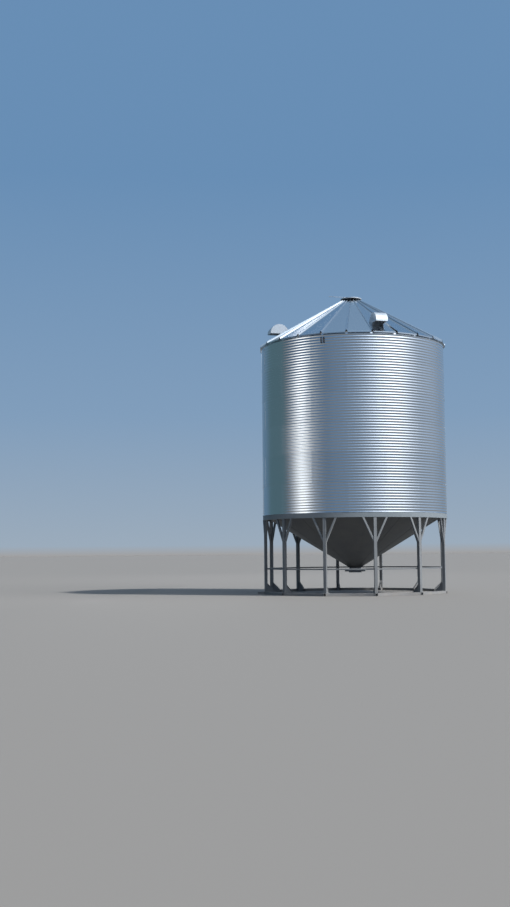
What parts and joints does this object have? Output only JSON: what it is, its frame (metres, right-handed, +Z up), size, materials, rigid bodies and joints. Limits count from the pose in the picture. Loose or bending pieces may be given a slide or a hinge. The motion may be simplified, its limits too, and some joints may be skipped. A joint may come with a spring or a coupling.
{
  "type": "hopper-bottom grain silo",
  "caption": "Round corrugated steel grain silo with a ribbed cone roof, hooded roof vents, and a steel hopper on braced legs and a skid ring.",
  "frame": {"origin": "on the ground, under the silo's axis", "axes": "+Z up along the silo's axis; -Y towards the side that the picture shows, +X to its right"},
  "size_m": [7.4562, 7.4, 11.8687],
  "materials": {
    "galvanised": "galvanised, lightly weathered",
    "roof_sheet": "galvanised, satin",
    "grey_paint": "satin grey paint",
    "cone_paint": "satin grey paint"
  },
  "bodies": {
    "root": {"skid_ring": "grey_paint", "leg_01": "grey_paint", "leg_02": "grey_paint", "leg_03": "grey_paint", "leg_04": "grey_paint", "leg_05": "grey_paint", "leg_06": "grey_paint", "leg_07": "grey_paint", "leg_08": "grey_paint", "leg_09": "grey_paint", "leg_10": "grey_paint", "leg_11": "grey_paint", "leg_12": "grey_paint", "tie_ring": "grey_paint", "hopper_band": "grey_paint", "hopper_cone": "cone_paint", "outlet_collar": "cone_paint", "gate_frame": "grey_paint", "gate_plate": "galvanised", "outlet_spout": "grey_paint", "wall_tier_1": "galvanised", "wall_tier_2": "galvanised", "wall_tier_3": "galvanised", "wall_tier_4": "galvanised", "wall_tier_5": "galvanised", "wall_tier_6": "galvanised", "eave_angle": "galvanised", "roof_section_1": "roof_sheet", "roof_section_2": "roof_sheet", "roof_section_3": "roof_sheet", "roof_section_4": "roof_sheet", "roof_section_5": "roof_sheet", "roof_section_6": "roof_sheet", "roof_section_7": "roof_sheet", "roof_section_8": "roof_sheet", "roof_vent_1": "galvanised", "roof_vent_2": "galvanised", "roof_vent_3": "galvanised", "fill_collar": "galvanised", "fill_lid": "galvanised", "eave_bracket": "galvanised"}
  },
  "joints": []
}
